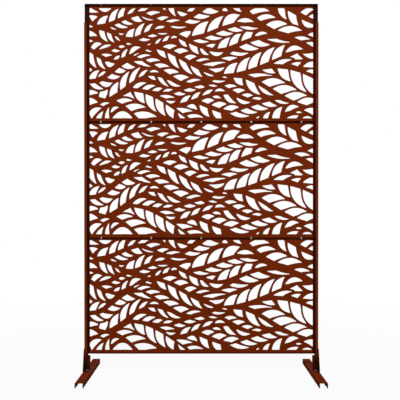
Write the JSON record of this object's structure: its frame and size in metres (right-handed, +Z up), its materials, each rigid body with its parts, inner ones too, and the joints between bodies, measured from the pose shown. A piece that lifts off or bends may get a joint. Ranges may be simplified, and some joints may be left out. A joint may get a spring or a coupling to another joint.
{
  "type": "laser cut metal privacy screen",
  "caption": "Free-standing screen of folded, leaf-pattern cut steel panels stacked between two channel posts on channel feet.",
  "frame": {"origin": "centre of the footprint, on the ground under the feet", "axes": "+Z up, +X along the screen to the right as seen from the front, +Y from the front to the back"},
  "size_m": [1.2368, 0.46, 1.945],
  "materials": {
    "panel_coat": "rust brown powder coat, fine texture",
    "frame_coat": "rust brown powder coat, fine texture",
    "foot_coat": "rust brown powder coat, fine texture",
    "zinc_steel": "bright zinc plated"
  },
  "bodies": {
    "root": {"panel_top": "panel_coat", "panel_middle": "panel_coat", "panel_bottom": "panel_coat", "post_upper_left": "frame_coat", "post_upper_right": "frame_coat", "post_lower_left": "frame_coat", "post_lower_right": "frame_coat", "bracket_left": "frame_coat", "bracket_right": "frame_coat", "foot_left": "foot_coat", "foot_right": "foot_coat", "seam_screws_upper": "zinc_steel", "seam_screws_lower": "zinc_steel", "seam_nuts_upper": "zinc_steel", "seam_nuts_lower": "zinc_steel", "side_screws_left": "zinc_steel", "side_screws_right": "zinc_steel", "side_nuts_left": "zinc_steel", "side_nuts_right": "zinc_steel", "bracket_screws_left": "zinc_steel", "bracket_screws_right": "zinc_steel", "bracket_nuts_left": "zinc_steel", "bracket_nuts_right": "zinc_steel", "foot_bolts_left": "zinc_steel", "foot_bolts_right": "zinc_steel", "foot_nuts_left": "zinc_steel", "foot_nuts_right": "zinc_steel"}
  },
  "joints": []
}
